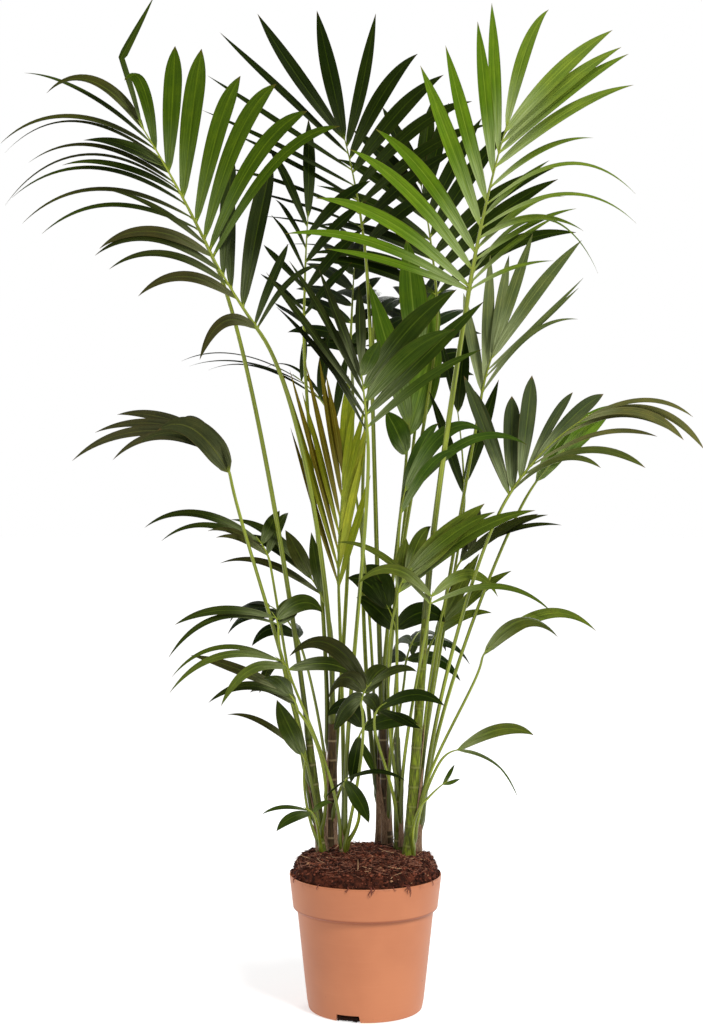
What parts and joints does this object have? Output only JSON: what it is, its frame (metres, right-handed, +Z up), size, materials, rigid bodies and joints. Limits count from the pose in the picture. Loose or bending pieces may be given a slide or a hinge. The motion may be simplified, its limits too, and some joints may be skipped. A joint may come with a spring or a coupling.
{
  "type": "potted kentia palm",
  "caption": "Clump of young kentia palms with arching feather fronds on slender stalks, standing in a round nursery pot of compost.",
  "frame": {"origin": "centre of the pot's flat underside", "axes": "+Z up along the pot's axis and the plant's height, -Y towards the front of the plant, +X to its right seen from the front"},
  "size_m": [1.0433, 0.8849, 1.621],
  "materials": {
    "pot": "moulded polypropylene, terracotta colour, satin",
    "soil": "moist reddish-brown potting compost",
    "cane_brown": "young palm stem in dry brown leaf sheaths",
    "cane_olive": "young palm stem, half green, half sheathed",
    "cane_green": "smooth green palm stem",
    "stalk": "smooth, slightly glossy yellow-green leaf stalk",
    "leaf_dark": "dark green palm leaflets",
    "leaf_mid": "mid green palm leaflets, satin",
    "leaf_bright": "bright green palm leaflets, satin",
    "leaf_spear": "young yellow-green leaflets",
    "leaf_silver": "silvery green undersides of leaflets",
    "leaf_dusky": "dusky brown-green leaflets in shade"
  },
  "bodies": {
    "root": {"cane_a": "cane_brown", "cane_b": "cane_brown", "cane_c": "cane_green", "cane_d": "cane_brown", "cane_e": "cane_olive", "cane_f": "cane_green", "cane_g": "cane_brown", "cane_h": "cane_green", "frond_back_broad": "leaf_bright", "frond_back_dark": "leaf_dark", "frond_back_left": "leaf_dark", "frond_back_low_left": "leaf_dark", "frond_back_mid": "leaf_dark", "frond_back_right": "leaf_dark", "frond_center_back": "leaf_dark", "frond_center_dark": "leaf_dark", "frond_center_low": "leaf_dark", "frond_curl": "leaf_dark", "frond_foot_left": "leaf_mid", "frond_foot_right": "leaf_mid", "frond_front_mid": "leaf_dark", "frond_left_arch": "leaf_dusky", "frond_left_broad": "leaf_dark", "frond_left_high": "leaf_mid", "frond_left_low": "leaf_dark", "frond_left_mid": "leaf_dark", "frond_left_shade": "leaf_dark", "frond_low_center": "leaf_dark", "frond_low_left": "leaf_dark", "frond_low_left_b": "leaf_mid", "frond_low_left_c": "leaf_dark", "frond_low_right": "leaf_dark", "frond_mid_arch": "leaf_dark", "frond_mid_fan": "leaf_mid", "frond_mid_right": "leaf_mid", "frond_mid_right_b": "leaf_dark", "frond_rear_left": "leaf_dark", "frond_rear_low_left": "leaf_dark", "frond_rear_low_right": "leaf_dark", "frond_rear_mid": "leaf_dark", "frond_rear_right": "leaf_dark", "frond_right_back": "leaf_silver", "frond_right_bifid": "leaf_mid", "frond_right_edge": "leaf_bright", "frond_right_high": "leaf_bright", "frond_right_low": "leaf_dark", "frond_right_small": "leaf_mid", "frond_spear": "leaf_spear", "pot": "pot", "soil": "soil", "stalk_back_left": "stalk", "stalk_back_mid": "stalk", "stalk_back_right": "stalk", "stalk_front_mid": "stalk", "stalk_left_high": "stalk", "stalk_left_mid": "stalk", "stalk_right_back": "stalk", "stalk_right_high": "stalk", "stalk_right_low": "stalk"}
  },
  "joints": []
}
